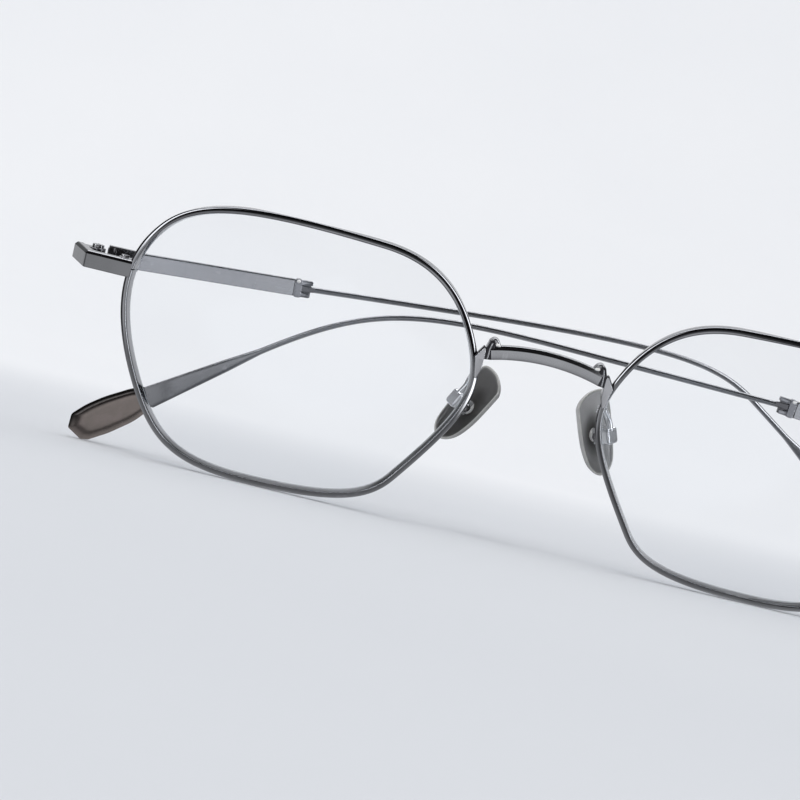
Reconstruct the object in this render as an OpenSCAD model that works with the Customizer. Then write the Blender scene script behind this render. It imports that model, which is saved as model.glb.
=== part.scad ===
// Folding metal eyeglasses with thin soft six-sided rims.
// Millimetres. +X is the viewer's right, +Y runs away from the viewer, +Z is up.
// The origin is the middle of the footprint on the surface that the folded frame stands on.
// Left and right are the viewer's. The temples are drawn folded, which is the rest pose.

/* [Rims and lenses] */
// Distance from the middle of the bridge to the middle of each eye
eye_x = 33.7; // [33:0.1:34.5]
// Face wrap of each eye, degrees
wrap = 2; // [0:0.5:4]
// Radius of the lens curve
base_r = 102; // [95:1:130]
// Width of the rim section, seen from the front
rim_w = 0.88; // [0.84:0.02:1.1]
// Depth of the rim section, front to back
rim_d = 1.8; // [1.6:0.1:2.2]
// Thickness of the lens
lens_t = 1.2; // [1.0:0.1:1.6]
// Points along each rounded corner of the outline
corner_n = 12; // [8:1:14]

/* [Hinge] */
// Hinge axis, distance from the middle plane
hinge_x = 63.7; // [63.5:0.1:64]
// Hinge axis, distance behind the lens plane
hinge_y = 9.0; // [8.8:0.1:9.2]
// Radius of the hinge knuckles
knuckle_r = 1.1; // [1:0.05:1.15]
// Radius of the hinge screw shank
pin_r = 0.5; // [0.4:0.05:0.55]
// Radial running clearance of the hinge screw in the temple knuckle
run_gap = 0.05; // [0.02:0.01:0.1]

/* [Temples] */
// Angle between the folded left temple and the front, degrees
fold_left = 8; // [6:0.5:12]
// Angle between the folded right temple and the front, degrees
fold_right = 1; // [0:0.5:3]
// Height of the temple plate
plate_h = 2.4; // [2.2:0.1:2.6]
// Diameter of the temple wire
wire_d = 0.8; // [0.7:0.05:0.9]
// Thickness of the tip sleeve
tip_t = 1.8; // [1.6:0.1:2.2]
// Drop angle of the wire behind the ear, degrees
drop = 37.4; // [36:0.2:39]

/* [Nose pads] */
// Length of a nose pad
pad_l = 12; // [11:0.5:13]
// Width of a nose pad
pad_w = 7; // [6:0.5:7.5]
// Diameter of the pad arm wire
arm_d = 1.0; // [0.9:0.05:1.1]

/* [Hidden] */
$fn = 48;

// Placing: the folded frame stands on both rims and on the right tip
lean = 9.671;
roll = 0;
rise = 18.327;
shift_x = 0;
shift_y = -14.805;

// Heights measured in the frame's own plane
hinge_z = 6.1;
lens_cz = -2.27;

// Outline of one eye: corner points, roundness of each corner, split of each side
P = [[28, 4.8], [16.2, 19.2], [-18.6, 17.2], [-26.5, 0.4], [-13.6, -17.6], [14.7, -18.8]];
K = [0.68, 0.74, 0.68, 0.85, 0.75, 0.82];
S = [0.56, 0.71, 0.56, 0.75, 0.42, 0.42];

function bez(a, b, c, d, t) = a*pow(1 - t, 3) + b*3*t*pow(1 - t, 2) + c*3*t*t*(1 - t) + d*pow(t, 3);
function dbez(a, b, c, d, t) = (b - a)*pow(1 - t, 2) + (c - b)*2*t*(1 - t) + (d - c)*t*t;
function mid(i) = P[i]*(1 - S[i]) + P[(i + 1) % 6]*S[i];
function c_in(i) = mid((i + 5) % 6) + (P[i] - mid((i + 5) % 6))*K[i];
function c_out(i) = mid(i) + (P[i] - mid(i))*K[i];
function unit(v) = v/norm(v);
function outline_pt(i, t) = bez(mid((i + 5) % 6), c_in(i), c_out(i), mid(i), t);
function outline_dir(i, t) = unit(dbez(mid((i + 5) % 6), c_in(i), c_out(i), mid(i), t));
// outline moved outwards by u
function outline(u, n) = [for (i = [0:5]) for (j = [0:n - 1])
    let (p = outline_pt(i, j/n), d = outline_dir(i, j/n)) [p[0] + u*d[1], p[1] - u*d[0]]];
// depth of the lens curve behind its front-most point
function sag(x, z) = base_r - sqrt(base_r*base_r - x*x - pow(z - lens_cz, 2));

// Triangles of a closed loop of rings, and of an open one with its end caps
function loop_faces(n, m) = [for (i = [0:n - 1]) for (j = [0:m - 1])
    for (f = [[i*m + j, ((i + 1) % n)*m + j, ((i + 1) % n)*m + (j + 1) % m],
              [i*m + j, ((i + 1) % n)*m + (j + 1) % m, i*m + (j + 1) % m]]) f];
function tube_faces(n, m) = concat([for (i = [0:n - 2]) for (j = [0:m - 1])
    for (f = [[i*m + j, (i + 1)*m + j, (i + 1)*m + (j + 1) % m],
              [i*m + j, (i + 1)*m + (j + 1) % m, i*m + (j + 1) % m]]) f],
    [[for (j = [0:m - 1]) j]], [[for (j = [m - 1:-1:0]) (n - 1)*m + j]]);

// Rim section: u outwards from the middle of the rim, w backwards, with the lens groove inside
function rim_section() = let (a = rim_w/2, b = rim_d/2) [[-a, -b + 0.16], [-a + 0.14, -b],
    [a - 0.24, -b], [a, -b + 0.3], [a, b - 0.2], [a - 0.18, b], [-a + 0.14, b], [-a, b - 0.16],
    [-a, 0.35], [-a + 0.32, 0.35], [-a + 0.32, -0.35], [-a, -0.35]];
// The section stands square to the lens curve: its depth runs towards the middle of the lens sphere
function rim_pt(p, d, q) = let (g = sag(p[0], p[1]), n = [-p[0], base_r - g, lens_cz - p[1]]/base_r,
    o = [d[1], 0, -d[0]], u = unit(o - n*(o*n))) [p[0], g, p[1]] + u*q[0] + n*q[1];

module frame_place() translate([shift_x, shift_y, rise]) rotate([lean, roll, 0]) children();
module side(s) if (s > 0) frame_place() children(); else frame_place() mirror([1, 0, 0]) children();
module eye(s) side(s) translate([eye_x, 0, 0]) rotate([0, 0, wrap]) children();

module rim(s) eye(s) {
    sec = rim_section();
    m = len(sec);
    pts = [for (i = [0:5]) for (j = [0:corner_n - 1])
        let (p = outline_pt(i, j/corner_n), d = outline_dir(i, j/corner_n))
        for (q = sec) rim_pt(p, d, q)];
    difference() {
        polyhedron(points = pts, faces = loop_faces(6*corner_n, m));
        translate([23, 0, 6.05]) cube([4, 8, 0.2]);
    }
}

// Cone from the eye's outline, moved outwards by u, to the middle of the lens sphere
module eye_cone(u) translate([0, -2, lens_cz]) rotate([-90, 0, 0])
    linear_extrude(height = 12, scale = (base_r - 10)/(base_r + 2))
    polygon([for (q = outline(u, 10)) [q[0], lens_cz - q[1]]*(base_r + 2)/(base_r - sag(q[0], q[1]))]);
module lens_shell(t) translate([0, base_r, lens_cz]) difference() {
    sphere(r = base_r + t/2, $fn = 96);
    sphere(r = base_r - t/2, $fn = 96);
}
// Lens with a thin bevelled edge that sits in the groove of the rim
module lens_node(s) eye(s) {
    intersection() {
        eye_cone(-rim_w/2 - 0.04);
        lens_shell(lens_t);
    }
    intersection() {
        difference() {
            eye_cone(-rim_w/2 + 0.24);
            eye_cone(-rim_w/2 - 0.5);
        }
        lens_shell(0.4);
    }
}

// Bridge: arched flat bar, a rounded knuckle and a wedge leg at each end
arch = 0.0178;
function arch_z(z0, x) = z0 - arch*x*x;
module bridge() {
    frame_place() translate([0, 2.4, 0]) rotate([90, 0, 0]) linear_extrude(height = 1.6)
        polygon(concat([for (x = [-7.3:1.46:7.4]) [x, arch_z(7.05, x)]],
                       [for (x = [6.9:-1.38:-7]) [x, arch_z(9.0, x)]]));
    for (s = [-1, 1]) side(s) {
        translate([0, 3.5, 0]) rotate([90, 0, 0]) linear_extrude(height = 2)
            polygon([[8.5, 7.4], [8.25, 8.5], [7.95, 8.95], [7.6, 9.1], [7.2, 8.95], [6.6, 8.2], [6.9, 6.2], [8.1, 5.9]]);
        translate([0, 2.5, 0]) rotate([90, 0, 0]) linear_extrude(height = 1.5)
            polygon([[9.75, 5.9], [8.5, 7.6], [8.05, 5.8], [8.35, 4.3], [8.8, 2.9], [9.2, 3.2]]);
    }
}

// End piece: front arm and side arm
module endpiece(s) side(s) difference() {
    translate([0, 0, 4.95]) linear_extrude(height = 2.3)
        polygon([[58.05, 3.1], [64.3, 3.1], [64.6, 3.5], [67.1, 10.1], [65.9, 10.1], [63.7, 5.1], [63.2, 4.9], [58.05, 4.9]]);
    // bevel along the top front edge
    translate([57, 3.1, 7.25]) rotate([45, 0, 0]) cube([9, 0.3, 0.3], center = false);
}

// Closing block: an upper and a lower half barrel behind the rim, pulled together by a screw
lock_x = 59.4;
lock_y = 5.6;
module lock_half(z0, z1) difference() {
    union() {
        translate([lock_x, lock_y, z0]) cylinder(r = 0.85, h = z1 - z0);
        translate([lock_x - 1.4, lock_y - 1.1, z0]) cube([1.4, 1.3, z1 - z0]);
    }
    translate([lock_x, lock_y, z0 - 1]) cylinder(r = 0.4, h = z1 - z0 + 2);
}
module rim_lock(s) side(s) {
    lock_half(4.95, 6.05);
    lock_half(6.25, 7.3);
}
module lock_screw(s) side(s) difference() {
    union() {
        translate([lock_x, lock_y, 4.9]) cylinder(r = 0.37, h = 2.5);
        translate([lock_x, lock_y, 7.32]) cylinder(r = 0.62, h = 0.34);
    }
    translate([lock_x, lock_y, 7.66]) cube([1.4, 0.18, 0.36], center = true);
}

// Hinge: two knuckles on the front, one on the temple
module hinge_front(s) side(s) difference() {
    for (z = [4.95, 6.55]) {
        translate([hinge_x, hinge_y, z]) cylinder(r = knuckle_r, h = 0.7);
        translate([0, 0, z]) linear_extrude(height = 0.7)
            polygon([[hinge_x, hinge_y], [65.9, 9.4], [65.1, 7.4], [64.3, 7.4], [hinge_x - 0.9, hinge_y - 0.63]]);
    }
    translate([hinge_x, hinge_y, 4]) cylinder(r = pin_r + 0.02, h = 4);
}
module hinge_screw(s) side(s) difference() {
    union() {
        translate([hinge_x, hinge_y, 4.9]) cylinder(r = pin_r, h = 2.4);
        translate([hinge_x, hinge_y, 7.27]) cylinder(r = 0.82, h = 0.4);
    }
    translate([hinge_x, hinge_y, 7.67]) cube([1.8, 0.22, 0.44], center = true);
}

// Temple frame: x along the temple, y to its outer side, z up, origin on the hinge axis
module temple(s) side(s) translate([hinge_x, hinge_y, hinge_z])
    rotate([0, 0, -(s > 0 ? fold_right : fold_left)]) mirror([1, 0, 0]) children();
function plate_rise(s) = s > 0 ? 4.4 : 3.3;
function plate_l(s) = s > 0 ? 26.9 : 28.2;
function wire_rise(s) = s > 0 ? 1.0 : 4.1;
function bend_at(s) = s > 0 ? 32.3 : 8;
module plate_frame(s) temple(s) translate([2.6, 0, 0]) rotate([0, -plate_rise(s), 0]) translate([-2.6, 0, 0]) children();

module hinge_temple(s) temple(s) difference() {
    union() {
        translate([0, 0, -0.4]) cylinder(r = knuckle_r, h = 0.8);
        translate([0, 0.1, -0.4]) cube([2, 1.28, 0.8]);
        translate([1.5, 0.45, -1.1]) cube([4.5, 0.93, 2.75]);
    }
    translate([0, 0, -2]) cylinder(r = pin_r + run_gap, h = 4);
}

module temple_plate(s) plate_frame(s) translate([0, 0, -plate_h/2]) linear_extrude(height = plate_h)
    polygon([[1.45, 1.35], [1.45, 2.55], [6, 2.55], [14, 2.35], [plate_l(s) + 0.3, 2.3], [plate_l(s) + 0.3, 1.4], [6, 1.35]]);

// Socket: a raised collar and a block with a pocket for the wire
module temple_socket(s) plate_frame(s) translate([plate_l(s) - 28.2, 0, 0]) difference() {
    union() {
        translate([28.22, 1.22, -1.32]) cube([1, 1.26, 2.64]);
        translate([29.2, 1.32, -1.2]) cube([1.5, 1.04, 2.4]);
    }
    translate([29.5, 1.1, -0.6]) cube([2, 0.78, 1.2]);
    translate([28.8, 1.86, 0]) rotate([0, 90, 0]) cylinder(r = wire_d/2 - 0.03, h = 4);
}

// Wire path in its own plane: straight, a smooth drop, then straight to the tip
tip_start = 17.5;
function wire_b(s) = s > 0 ? [74.2, -11.6] : [69.2, -6.7];
function wire_i(s) = [wire_b(s)[0] + wire_b(s)[1]/tan(drop), 0];
// length of the straight drop before the wire begins to flatten
function wire_lead(s) = s > 0 ? 0 : 7.5;
function wire_bend(s, t) = let (a = [bend_at(s), 0], b = wire_b(s), c = wire_i(s))
    bez(a, a + (c - a)*0.86, b + (c - b)*0.86, b, t);
// stations: [x, z, direction angle, distance past the bend]
function wire_stations(s) = concat(
    [for (x = [0, 0.25, 0.5, 0.75]) [x*bend_at(s), 0, 0, -99]],
    [for (i = [0:22]) let (t = i/22, p = wire_bend(s, t), q = wire_bend(s, t + 0.001), r = wire_bend(s, t - 0.001))
        [p[0], p[1], atan2(q[1] - r[1], q[0] - r[0]), i < 17 ? -99 : (i - 22)*1.6 - wire_lead(s)]],
    [for (k = s > 0 ? [2, 4, 6, 8, 10, 12, 14, 16, 17.4] : [-5, -2.5, 0, 2, 4, 6, 8, 10, 12, 14, 16, 17.4])
        wire_st(s, k)],
    [for (k = [17.6, 21, 25, 27.6]) wire_st(s, k)]);
function wire_st(s, k) = let (b = wire_b(s), h = k + wire_lead(s)) [b[0] + h*cos(drop), b[1] - h*sin(drop), -drop, k];
function half_w(k) = lookup(k, [[-8, wire_d/2], [0, 0.43], [5.4, 0.87], [10.4, 1.17], [17.4, 1.6], [17.6, 1.3], [27.6, 0.9]]);
function half_t(k) = lookup(k, [[-8, wire_d/2], [0, 0.38], [10.4, 0.33], [17.4, 0.3], [17.6, 0.3], [27.6, 0.25]]);
wire_m = 12;
module temple_wire(s) temple(s) translate([plate_l(s) + 1.1, 1.86, (plate_l(s) - 1.5)*tan(plate_rise(s))]) rotate([0, -wire_rise(s), 0]) {
    st = wire_stations(s);
    pts = [for (p = st) for (j = [0:wire_m - 1])
        let (a = -360*j/wire_m, u = half_w(p[3])*cos(a), v = half_t(p[3])*sin(a))
        [p[0] - u*sin(p[2]), v, p[1] + u*cos(p[2])]];
    polyhedron(points = pts, faces = tube_faces(len(st), wire_m));
}

// Tip sleeve: flat paddle with bevelled edges and a clipped end
tip_outline = [[-0.2, 1.6], [1.6, 2.15], [5.7, 2.55], [8.6, 2.5], [11, 2.1], [12.3, 0.5],
    [11.4, -1.7], [10.4, -2.25], [7.3, -2.5], [3.2, -2.35], [0.2, -1.6]];
module tip_sleeve(s) temple(s) translate([plate_l(s) + 1.1, 1.86, (plate_l(s) - 1.5)*tan(plate_rise(s))]) rotate([0, -wire_rise(s), 0])
    translate([wire_st(s, tip_start)[0], 0, wire_st(s, tip_start)[1]]) rotate([0, drop, 0])
    difference() {
        hull() {
            rotate([90, 0, 0]) linear_extrude(height = tip_t*0.3, center = true) polygon(tip_outline);
            rotate([90, 0, 0]) linear_extrude(height = tip_t, center = true)
                polygon([for (p = tip_outline) [0.5 + p[0]*0.87, p[1]*0.72]]);
        }
        // slot for the blade inside the sleeve
        translate([-1, -0.33, -1.65]) cube([1.5, 0.66, 3.3]);
    }

// Nose pad placing: x across the pad to its back edge, y out of the hollow side, z along the pad
function pad_c(s) = s > 0 ? [9.4, 6.4, -1.55] : [8.35, 6.4, -2.05];
function pad_splay(s) = s > 0 ? 42 : 31;
function pad_tilt(s) = s > 0 ? 20 : 27;
module pad_frame(s) side(s) translate(pad_c(s)) rotate([0, -pad_tilt(s), 0]) rotate([0, 0, 90 - pad_splay(s)])
    mirror([0, 1, 0]) children();
// the same placing for a single point
function pad_pt(s, q) = let (a = 90 - pad_splay(s), t = pad_tilt(s), x = q[0]*cos(a) + q[1]*sin(a),
    y = q[0]*sin(a) - q[1]*cos(a)) pad_c(s) + [x*cos(t) - q[2]*sin(t), y, x*sin(t) + q[2]*cos(t)];
// outline of a pad: a high shoulder on the nose side, a rounder back
pad_shape = [[-0.91, 0.6], [-0.88, 0], [-0.78, -0.36], [-0.57, -0.68], [-0.21, -0.9], [0.18, -0.98], [0.6, -0.93],
    [0.93, -0.73], [1.05, -0.33], [1.08, 0.17], [1.01, 0.6], [0.69, 0.92], [0.06, 1.02], [-0.54, 0.92], [-0.86, 0.77]];
function pad_outline(a, b, n) = let (m = len(pad_shape)) [for (i = [0:m - 1]) for (j = [0:n - 1])
    let (p = pad_shape[(i + m - 1) % m], q = pad_shape[i], r = pad_shape[(i + 1) % m], t = pad_shape[(i + 2) % m], u = j/n,
    v = (q*2 + (r - p)*u + (p*2 - q*5 + r*4 - t)*u*u + (q*3 - p - r*3 + t)*u*u*u)/2) [a*v[0]*0.98, b*v[1]*0.98]];
module nose_pad(s) pad_frame(s) rotate([90, 0, 0]) {
    // contact plate, flat towards the nose
    linear_extrude(height = 0.55) polygon(pad_outline(pad_w/2, pad_l/2, 4));
    // raised edge around the hollow back
    translate([0, 0, -0.55]) linear_extrude(height = 0.6) difference() {
        polygon(pad_outline(pad_w/2, pad_l/2, 4));
        polygon(pad_outline(pad_w/2 - 0.5, pad_l/2 - 0.5, 4));
    }
}
// Lug on the back of the pad, with the cross bore
module pad_boss(s) pad_frame(s) difference() {
    union() {
        translate([-0.5, 0, -0.8]) cube([1, 1.5, 1.6]);
        translate([-0.5, 1.5, 0]) rotate([0, 90, 0]) cylinder(r = 0.8, h = 1);
        translate([0, 0.45, 0]) rotate([90, 0, 0]) cylinder(r = 1.1, h = 0.45);
    }
    translate([-2, 1.5, 0]) rotate([0, 90, 0]) cylinder(r = 0.4, h = 4);
}
// Box at the end of the pad arm that holds the lug
module pad_box(s) pad_frame(s) difference() {
    translate([-1.15, 0.75, -1.2]) cube([2.3, 2.75, 2.4]);
    translate([-0.62, 0, -3]) cube([1.24, 2.55, 6]);
    translate([-2, 1.5, 0]) rotate([0, 90, 0]) cylinder(r = 0.37, h = 4);
}
module pad_screw(s) pad_frame(s) {
    translate([-1.3, 1.5, 0]) rotate([0, 90, 0]) cylinder(r = 0.35, h = 2.6);
    translate([-1.5, 1.5, 0]) rotate([0, 90, 0]) cylinder(r = 0.6, h = 0.33);
}

// Pad arm: bent wire from the back of the rim, down into the wall of the box
function arm_path(s) = [[8.9, 2.7, 2.4], [9.1, 4.2, 2.8], (pad_pt(s, [0, 2.7, 3.1]) + [9.5, 5.9, 2.6])/2,
    pad_pt(s, [0, 2.9, 2.1]), pad_pt(s, [0, 3.05, 0.7])];
function cat(p, i, t) = let (n = len(p), a = p[max(i - 1, 0)], b = p[i], c = p[i + 1], d = p[min(i + 2, n - 1)])
    (b*2 + (c - a)*t + (a*2 - b*5 + c*4 - d)*t*t + (b*3 - a - c*3 + d)*t*t*t)/2;
arm_m = 10;
module pad_arm(s) side(s) {
    k = 5;
    path = arm_path(s);
    n = len(path) - 1;
    c = concat([for (i = [0:n - 1]) for (j = [0:k - 1]) cat(path, i, j/k)], [path[n]]);
    m = len(c);
    pts = [for (i = [0:m - 1]) let (
        d = unit(c[min(i + 1, m - 1)] - c[max(i - 1, 0)]),
        e = unit(cross(d, [0.35, 0.9, 0.3])), f = cross(d, e))
        for (j = [0:arm_m - 1]) c[i] + (e*cos(360*j/arm_m) + f*sin(360*j/arm_m))*arm_d/2];
    polyhedron(points = pts, faces = tube_faces(m, arm_m));
}

module rim_left() { color([0.55, 0.55, 0.57]) rim(-1); }
module rim_right() { color([0.55, 0.55, 0.57]) rim(1); }
module lens_left() { color([0.9, 0.94, 0.97, 0.3]) lens_node(-1); }
module lens_right() { color([0.9, 0.94, 0.97, 0.3]) lens_node(1); }
module endpiece_left() { color([0.46, 0.46, 0.48]) endpiece(-1); }
module endpiece_right() { color([0.46, 0.46, 0.48]) endpiece(1); }
module bridge_node() { color([0.5, 0.5, 0.52]) bridge(); }
module rim_lock_left() { color([0.4, 0.4, 0.42]) rim_lock(-1); }
module rim_lock_right() { color([0.4, 0.4, 0.42]) rim_lock(1); }
module lock_screw_left() { color([0.7, 0.7, 0.7]) lock_screw(-1); }
module lock_screw_right() { color([0.7, 0.7, 0.7]) lock_screw(1); }
module hinge_front_left() { color([0.35, 0.35, 0.37]) hinge_front(-1); }
module hinge_front_right() { color([0.35, 0.35, 0.37]) hinge_front(1); }
module hinge_screw_left() { color([0.7, 0.7, 0.7]) hinge_screw(-1); }
module hinge_screw_right() { color([0.7, 0.7, 0.7]) hinge_screw(1); }
module pad_arm_left() { color([0.6, 0.6, 0.62]) pad_arm(-1); }
module pad_arm_right() { color([0.6, 0.6, 0.62]) pad_arm(1); }
module pad_box_left() { color([0.7, 0.7, 0.72]) pad_box(-1); }
module pad_box_right() { color([0.7, 0.7, 0.72]) pad_box(1); }
module pad_screw_left() { color([0.8, 0.8, 0.8]) pad_screw(-1); }
module pad_screw_right() { color([0.8, 0.8, 0.8]) pad_screw(1); }
module pad_boss_left() { color([0.75, 0.75, 0.75]) pad_boss(-1); }
module pad_boss_right() { color([0.75, 0.75, 0.75]) pad_boss(1); }
module nose_pad_left() { color([0.38, 0.37, 0.36]) nose_pad(-1); }
module nose_pad_right() { color([0.38, 0.37, 0.36]) nose_pad(1); }
module hinge_temple_left() { color([0.35, 0.35, 0.37]) hinge_temple(-1); }
module hinge_temple_right() { color([0.35, 0.35, 0.37]) hinge_temple(1); }
module temple_plate_left() { color([0.62, 0.63, 0.66]) temple_plate(-1); }
module temple_plate_right() { color([0.62, 0.63, 0.66]) temple_plate(1); }
module temple_socket_left() { color([0.6, 0.6, 0.63]) temple_socket(-1); }
module temple_socket_right() { color([0.6, 0.6, 0.63]) temple_socket(1); }
module temple_wire_left() { color([0.45, 0.46, 0.48]) temple_wire(-1); }
module temple_wire_right() { color([0.45, 0.46, 0.48]) temple_wire(1); }
module tip_sleeve_left() { color([0.3, 0.27, 0.26]) tip_sleeve(-1); }
module tip_sleeve_right() { color([0.3, 0.27, 0.26]) tip_sleeve(1); }

rim_left();
rim_right();
lens_left();
lens_right();
bridge_node();  // bridge
endpiece_left();
endpiece_right();
rim_lock_left();
rim_lock_right();
lock_screw_left();
lock_screw_right();
hinge_front_left();
hinge_front_right();
hinge_screw_left();
hinge_screw_right();
pad_arm_left();
pad_arm_right();
pad_box_left();
pad_box_right();
pad_screw_left();
pad_screw_right();
pad_boss_left();
pad_boss_right();
nose_pad_left();
nose_pad_right();
hinge_temple_left();
hinge_temple_right();
temple_plate_left();
temple_plate_right();
temple_socket_left();
temple_socket_right();
temple_wire_left();
temple_wire_right();
tip_sleeve_left();
tip_sleeve_right();
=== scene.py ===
import bpy, bmesh, math
import numpy as np
from mathutils import Vector, Matrix, Quaternion

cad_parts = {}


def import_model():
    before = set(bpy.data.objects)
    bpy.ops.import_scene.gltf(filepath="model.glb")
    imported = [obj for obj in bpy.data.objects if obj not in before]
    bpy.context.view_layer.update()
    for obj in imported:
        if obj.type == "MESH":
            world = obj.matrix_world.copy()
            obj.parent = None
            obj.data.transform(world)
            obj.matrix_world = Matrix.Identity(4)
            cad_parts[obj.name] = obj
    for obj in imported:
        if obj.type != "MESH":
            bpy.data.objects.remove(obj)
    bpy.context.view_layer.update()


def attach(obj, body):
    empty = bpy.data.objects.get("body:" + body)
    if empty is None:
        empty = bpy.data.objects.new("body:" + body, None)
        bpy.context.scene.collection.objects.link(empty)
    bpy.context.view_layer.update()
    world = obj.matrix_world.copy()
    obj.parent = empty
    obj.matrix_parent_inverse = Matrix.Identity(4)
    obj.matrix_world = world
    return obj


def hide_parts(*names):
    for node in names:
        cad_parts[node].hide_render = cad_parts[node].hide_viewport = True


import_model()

# ---------------------------------------------------------------- placing of the part (millimetres, degrees)
LEAN, RISE, SHIFT_Y = 9.671, 18.327, -14.805
ca, sa = math.cos(math.radians(LEAN)), math.sin(math.radians(LEAN))
RX = np.array([[1, 0, 0], [0, ca, -sa], [0, sa, ca]])
TR = np.array([0, SHIFT_Y, RISE])


def A(p):
    return np.array(p, float).reshape(-1, 3)


def world(p):
    return (A(p) @ RX.T + TR) / 1000.0


def side(s, p):
    return A(p) * [s, 1, 1]


def rot_y(p, deg):          # turns +X towards +Z
    c, t = math.cos(math.radians(deg)), math.sin(math.radians(deg))
    p = A(p)
    return np.stack([p[:, 0] * c - p[:, 2] * t, p[:, 1], p[:, 0] * t + p[:, 2] * c], 1)


def rot_z(p, deg):
    c, t = math.cos(math.radians(deg)), math.sin(math.radians(deg))
    p = A(p)
    return np.stack([p[:, 0] * c - p[:, 1] * t, p[:, 0] * t + p[:, 1] * c, p[:, 2]], 1)


EYE_X, WRAP, BASE_R, LENS_CZ = 33.7, 2.0, 102.0, -2.27
RIM_W, RIM_D, LENS_T = 0.88, 1.8, 1.2
HX, HY, HZ = 63.7, 9.0, 6.1
FOLD = {1: 1.0, -1: 8.0}
PLATE_RISE = {1: 4.4, -1: 3.3}
PLATE_L = {1: 26.9, -1: 28.2}
WIRE_RISE = {1: 1.0, -1: 4.1}
BEND_AT = {1: 32.3, -1: 8.0}
WIRE_B = {1: (74.2, -11.6), -1: (69.2, -6.7)}
LEAD = {1: 0.0, -1: 7.5}
DROP, TIP_START = 37.4, 17.5
PAD_C = {1: (9.4, 6.4, -1.55), -1: (8.35, 6.4, -2.05)}
PAD_SPLAY = {1: 42.0, -1: 31.0}
PAD_TILT = {1: 20.0, -1: 27.0}
SIDES = {"left": -1, "right": 1}


def f_front(s, p):
    return world(side(s, p))


def f_eye(s, p):
    return world(side(s, rot_z(p, WRAP) + [EYE_X, 0, 0]))


def temple_f(s, p):
    p = A(p) * [-1, 1, 1]
    return side(s, rot_z(p, -FOLD[s]) + [HX, HY, HZ])


def f_temple(s, p):
    return world(temple_f(s, p))


def f_plate(s, p):
    return world(temple_f(s, rot_y(A(p) - [2.6, 0, 0], PLATE_RISE[s]) + [2.6, 0, 0]))


def f_wire(s, p):
    z = (PLATE_L[s] - 1.5) * math.tan(math.radians(PLATE_RISE[s]))
    return world(temple_f(s, rot_y(p, WIRE_RISE[s]) + [PLATE_L[s] + 1.1, 1.86, z]))


def pad_f(s, p):
    p = A(p) * [1, -1, 1]
    return rot_y(rot_z(p, 90 - PAD_SPLAY[s]), PAD_TILT[s]) + np.array(PAD_C[s])


def f_pad(s, p):
    return world(side(s, pad_f(s, p)))


# ---------------------------------------------------------------- materials
def new_mat(name):
    m = bpy.data.materials.new(name)
    m.use_nodes = True
    nt = m.node_tree
    for n in list(nt.nodes):
        nt.nodes.remove(n)
    out = nt.nodes.new("ShaderNodeOutputMaterial")
    return m, nt, out


def tex(nt, kind, **kw):
    n = nt.nodes.new(kind)
    for k, v in kw.items():
        if k in n.inputs:
            n.inputs[k].default_value = v
        else:
            setattr(n, k, v)
    return n


def ramp(nt, src, stops):
    r = nt.nodes.new("ShaderNodeValToRGB")
    el = r.color_ramp.elements
    while len(el) < len(stops):
        el.new(0.5)
    for e, (pos, col) in zip(el, stops):
        e.position = pos
        e.color = tuple(col) + (1,) if len(col) == 3 else col
    nt.links.new(src, r.inputs[0])
    return r


def map_range(nt, src, lo, hi, a=0.0, b=1.0):
    m = nt.nodes.new("ShaderNodeMapRange")
    m.inputs["From Min"].default_value = a
    m.inputs["From Max"].default_value = b
    m.inputs["To Min"].default_value = lo
    m.inputs["To Max"].default_value = hi
    nt.links.new(src, m.inputs["Value"])
    return m


def mix_col(nt, fac, a, b):
    m = nt.nodes.new("ShaderNodeMix")
    m.data_type = "RGBA"
    if isinstance(fac, float):
        m.inputs[0].default_value = fac
    else:
        nt.links.new(fac, m.inputs[0])
    for i, c in ((6, a), (7, b)):
        if isinstance(c, tuple):
            m.inputs[i].default_value = c if len(c) == 4 else c + (1,)
        else:
            nt.links.new(c, m.inputs[i])
    return m


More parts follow.
